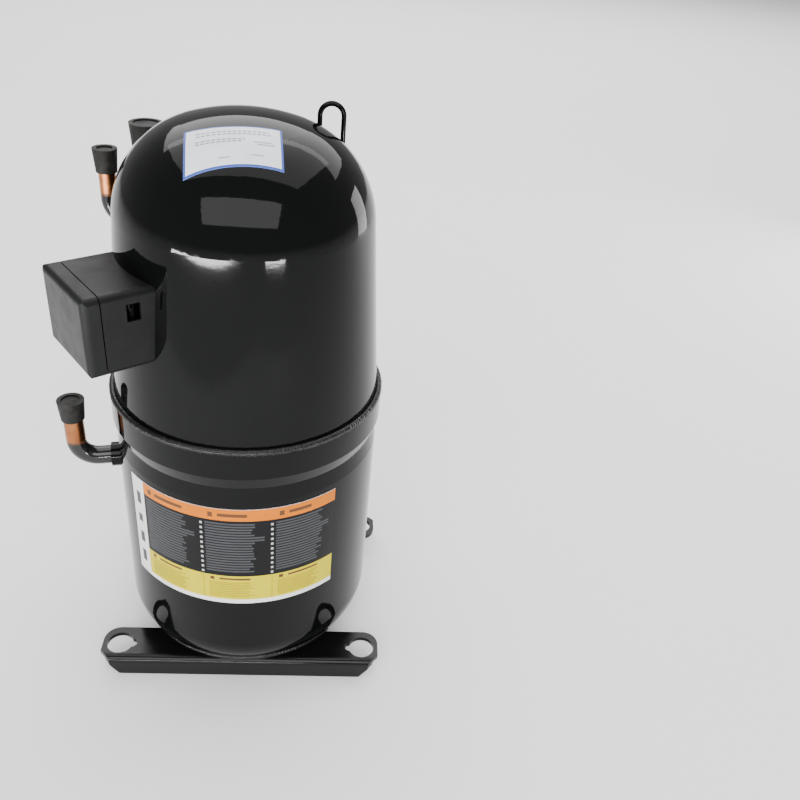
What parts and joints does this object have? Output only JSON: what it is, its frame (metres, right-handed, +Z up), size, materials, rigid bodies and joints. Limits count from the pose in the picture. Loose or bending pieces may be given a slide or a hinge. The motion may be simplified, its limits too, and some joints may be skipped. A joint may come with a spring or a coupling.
{
  "type": "hermetic scroll compressor",
  "caption": "Welded-shell scroll compressor with a domed black cup, base rails, terminal box, copper stub tubes, scroll set, motor and shaft inside.",
  "frame": {"origin": "on the floor that the rails stand on, where the shell's axis meets it, midway between the four foot holes", "axes": "+Z up along the shell's axis, +X along the rails, -Y towards the side with the label"},
  "size_m": [0.2788, 0.2276, 0.484],
  "materials": {
    "gloss_black_paint": "gloss black enamel over drawn steel",
    "label_film": null,
    "copper": "drawn copper, slightly dulled",
    "black_rubber": "matt moulded rubber",
    "black_plastic": "satin moulded plastic",
    "steel": "machined",
    "green_screw": "green passivated screw",
    "iron": "machined casting",
    "lamination_steel": "stacked laminations",
    "bronze": "machined",
    "aluminium": "cast and machined",
    "lead_insulation": "insulated lead wire"
  },
  "bodies": {
    "shell": {"lower_shell": "gloss_black_paint", "upper_shell": "gloss_black_paint", "girth_weld": "gloss_black_paint", "base_rail_front": "gloss_black_paint", "base_rail_rear": "gloss_black_paint", "lifting_eye": "gloss_black_paint", "warning_label": "label_film", "nameplate": "label_film", "suction_tube": "copper", "discharge_tube": "copper", "process_tube": "copper", "tube_collars": "gloss_black_paint", "terminal_box": "black_plastic", "hermetic_terminal": "steel", "terminal_pins": "steel", "terminal_block": "black_plastic", "ground_screw": "green_screw", "main_bearing_housing": "iron", "main_bearing_bush": "bronze", "fixed_scroll": "iron", "scroll_bolts": "steel", "separator_plate": "steel", "discharge_valve_cage": "steel", "relief_valve_body": "bronze", "relief_valve_spring": "steel", "suction_deflector": "steel", "stator_core": "lamination_steel", "stator_windings": "copper", "motor_protector": "black_plastic", "motor_leads": "lead_insulation", "lower_bearing_bracket": "iron", "lower_bearing_bush": "bronze", "thrust_plate": "steel", "oil_screen": "steel", "sump_magnet": "iron"},
    "shaft": {"crankshaft": "steel", "drive_bushing": "bronze", "rotor_core": "lamination_steel", "rotor_cage": "aluminium", "upper_counterweight": "bronze", "lower_counterweight": "bronze", "oil_pickup_tube": "steel"},
    "orbiting": {"orbiting_scroll": "iron"},
    "oldham": {"oldham_ring": "aluminium"},
    "seal": {"floating_seal": "aluminium"},
    "check_disc": {"discharge_valve_disc": "steel"},
    "relief_ball": {"relief_valve_ball": "steel"},
    "box_lid": {"terminal_cover": "black_plastic"},
    "cap_suction": {"suction_cap": "black_rubber"},
    "cap_discharge": {"discharge_cap": "black_rubber"},
    "cap_process": {"process_cap": "black_rubber"}
  },
  "joints": [
    {"name": "shaft_spin", "type": "hinge", "parent": "shell", "child": "shaft", "pos_m": [0, 0, 0.15], "axis": [0, 0, 1], "continuous": true},
    {"name": "scroll_orbit", "type": "hinge", "parent": "shaft", "child": "orbiting", "pos_m": [0, 0.0042, 0.3], "axis": [0, 0, 1], "continuous": true},
    {"name": "oldham_slide", "type": "slide", "parent": "shell", "child": "oldham", "axis": [1, 0, 0], "range_m": [-0.0042, 0.0042]},
    {"name": "seal_lift", "type": "slide", "parent": "shell", "child": "seal", "axis": [0, 0, 1], "range_m": [0, 0.001]},
    {"name": "check_lift", "type": "slide", "parent": "shell", "child": "check_disc", "axis": [0, 0, 1], "range_m": [0, 0.0035]},
    {"name": "relief_open", "type": "slide", "parent": "shell", "child": "relief_ball", "axis": [0, 0, -1], "range_m": [0, 0.002], "stiffness_N_per_m": 500, "deforming": ["relief_valve_spring"]},
    {"name": "lid_pull", "type": "slide", "parent": "shell", "child": "box_lid", "axis": [-0.8018, -0.5976, 0], "range_m": [0, 0.04]},
    {"name": "suction_cap_pull", "type": "slide", "parent": "shell", "child": "cap_suction", "axis": [0, 0, 1], "range_m": [0, 0.06]},
    {"name": "discharge_cap_pull", "type": "slide", "parent": "shell", "child": "cap_discharge", "axis": [0, 0, 1], "range_m": [0, 0.06]},
    {"name": "process_cap_pull", "type": "slide", "parent": "shell", "child": "cap_process", "axis": [0, 0, 1], "range_m": [0, 0.06]}
  ],
  "couplings": [
    {"joint": "scroll_orbit", "follows": "shaft_spin", "ratio": -1}
  ]
}
